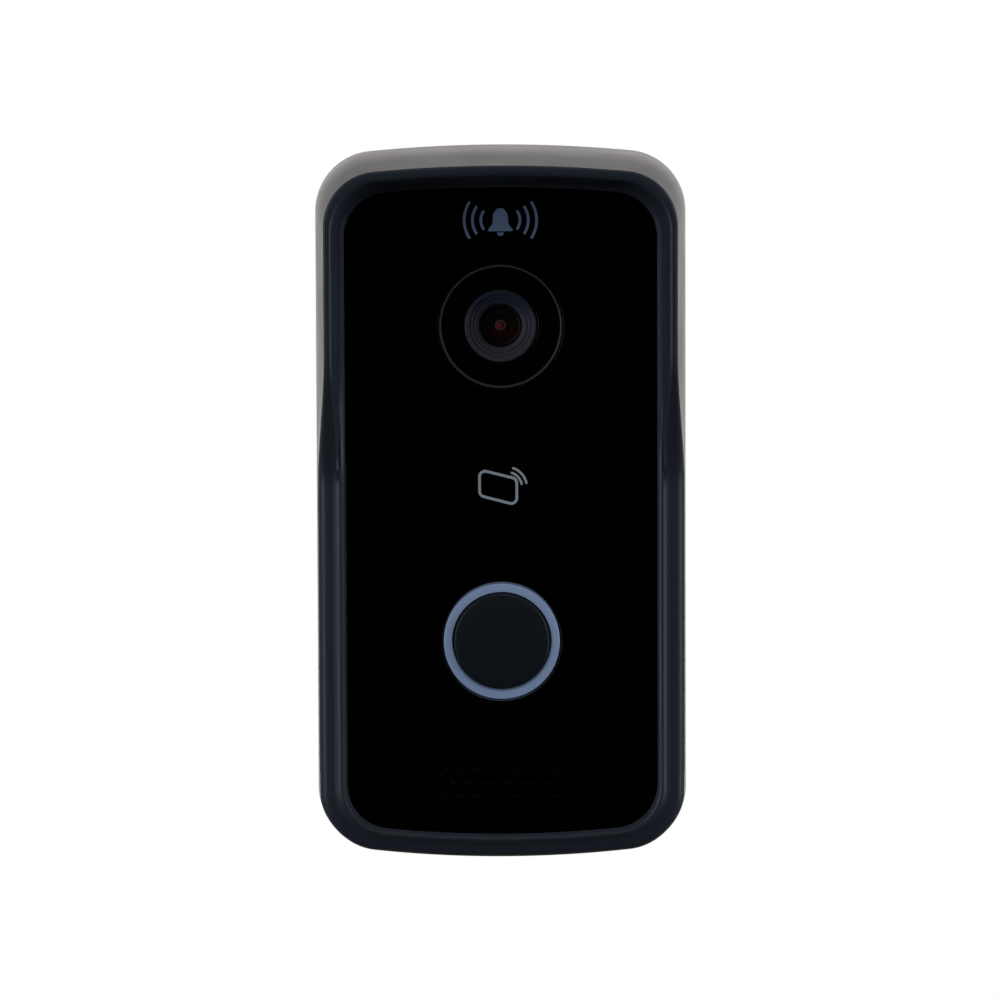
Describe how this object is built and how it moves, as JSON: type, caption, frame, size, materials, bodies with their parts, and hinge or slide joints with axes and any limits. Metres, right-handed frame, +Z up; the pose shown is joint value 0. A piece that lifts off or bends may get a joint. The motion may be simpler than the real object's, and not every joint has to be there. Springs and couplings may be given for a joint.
{
  "type": "video doorbell",
  "caption": "Surface-mounted video doorbell with a rain hood over its upper half, gloss front panel, camera window, card reader area, round lit call button and steel wall bracket.",
  "frame": {"origin": "centre of the wall bracket's rear face, in the wall plane", "axes": "+Z up the wall, +Y into the wall, the face looks along -Y, +X to the right of a person who looks at the face"},
  "size_m": [0.0676, 0.032, 0.13],
  "materials": {
    "housing_plastic": "satin moulded, near-black with a cold tint",
    "panel_gloss": "polished black acrylic",
    "button_plastic": "matte near-black",
    "light_diffuser": "slate-blue light diffuser",
    "dark_trim": "dark satin trim ring",
    "clear_window": "clear, hard coated",
    "lens_glass": "coated lens glass",
    "infrared_black": "black, passes infrared",
    "lens_black": "black anodised lens barrel",
    "cover_plastic": "moulded, fine texture",
    "plated_steel": "zinc plated",
    "black_steel": "black oxide",
    "copper_track": "copper track",
    "board_green": "solder mask on glass-fibre board",
    "moulded_black": "moulded component body",
    "silicone": "translucent silicone",
    "black_rubber": "black rubber",
    "foam_tape": "bonding tape",
    "led_body": "clear epoxy over phosphor",
    "shield_tin": "tinned sheet",
    "terminal_green": "moulded green",
    "ferrite": "sintered ferrite",
    "capacitor_sleeve": "printed sleeve",
    "cone_paper": "treated paper cone",
    "switch_red": "moulded red"
  },
  "bodies": {
    "station": {"front_housing": "housing_plastic", "face_panel": "panel_gloss", "panel_tape": "foam_tape", "rear_cover": "cover_plastic", "rear_gasket": "black_rubber", "wall_bracket": "plated_steel", "lock_screw": "black_steel", "cable_grommet": "black_rubber", "window_ring": "dark_trim", "camera_window": "clear_window", "infrared_filter": "infrared_black", "infrared_board": "board_green", "lens_barrel": "lens_black", "front_lens": "lens_glass", "lens_holder": "moulded_black", "image_sensor": "moulded_black", "camera_board": "board_green", "light_ring": "light_diffuser", "button_seal": "silicone", "button_switch": "moulded_black", "button_board": "board_green", "antenna_board": "board_green", "antenna_coil": "copper_track", "ferrite_sheet": "ferrite", "main_board": "board_green", "processor_shield": "shield_tin", "power_transformer": "ferrite", "network_jack": "shield_tin", "terminal_block": "terminal_green", "reset_switch": "moulded_black", "tamper_switch": "moulded_black", "speaker_frame": "moulded_black", "speaker_magnet": "plated_steel", "speaker_gasket": "black_rubber", "microphone": "shield_tin", "microphone_boot": "black_rubber", "rear_screw_1": "plated_steel", "infrared_led_1": "led_body", "ring_led_1": "led_body", "rear_screw_2": "plated_steel", "infrared_led_2": "led_body", "ring_led_2": "led_body", "rear_screw_3": "plated_steel", "infrared_led_3": "led_body", "ring_led_3": "led_body", "rear_screw_4": "plated_steel", "infrared_led_4": "led_body", "ring_led_4": "led_body", "camera_screw_1": "plated_steel", "board_screw_1": "plated_steel", "capacitor_1": "capacitor_sleeve", "camera_screw_2": "plated_steel", "board_screw_2": "plated_steel", "capacitor_2": "capacitor_sleeve"},
    "call_button": {"call_button": "button_plastic"},
    "switch_plunger": {"switch_plunger": "silicone"},
    "filter_shutter": {"filter_shutter": "clear_window"},
    "reset_button": {"reset_button": "switch_red"},
    "tamper_plunger": {"tamper_plunger": "silicone"},
    "speaker_cone": {"speaker_cone": "cone_paper"}
  },
  "joints": [
    {"name": "call_button_press", "type": "slide", "parent": "station", "child": "call_button", "axis": [0, 1, 0], "range_m": [0, 0.0006], "stiffness_N_per_m": 2500, "deforming": ["button_seal"]},
    {"name": "switch_plunger_press", "type": "slide", "parent": "station", "child": "switch_plunger", "axis": [0, 1, 0], "range_m": [0, 0.00025]},
    {"name": "filter_shutter_slide", "type": "slide", "parent": "station", "child": "filter_shutter", "axis": [1, 0, 0], "range_m": [0, 0.0085]},
    {"name": "reset_button_press", "type": "slide", "parent": "station", "child": "reset_button", "axis": [0, -1, 0], "range_m": [0, 0.00025], "stiffness_N_per_m": 4000},
    {"name": "tamper_plunger_press", "type": "slide", "parent": "station", "child": "tamper_plunger", "axis": [0, -1, 0], "range_m": [0, 0.0012], "stiffness_N_per_m": 500},
    {"name": "speaker_cone_stroke", "type": "slide", "parent": "station", "child": "speaker_cone", "axis": [0, -1, 0], "range_m": [-0.0004, 0.0004], "stiffness_N_per_m": 1500}
  ],
  "couplings": [
    {"joint": "switch_plunger_press", "follows": "call_button_press", "ratio": 0.41667}
  ]
}
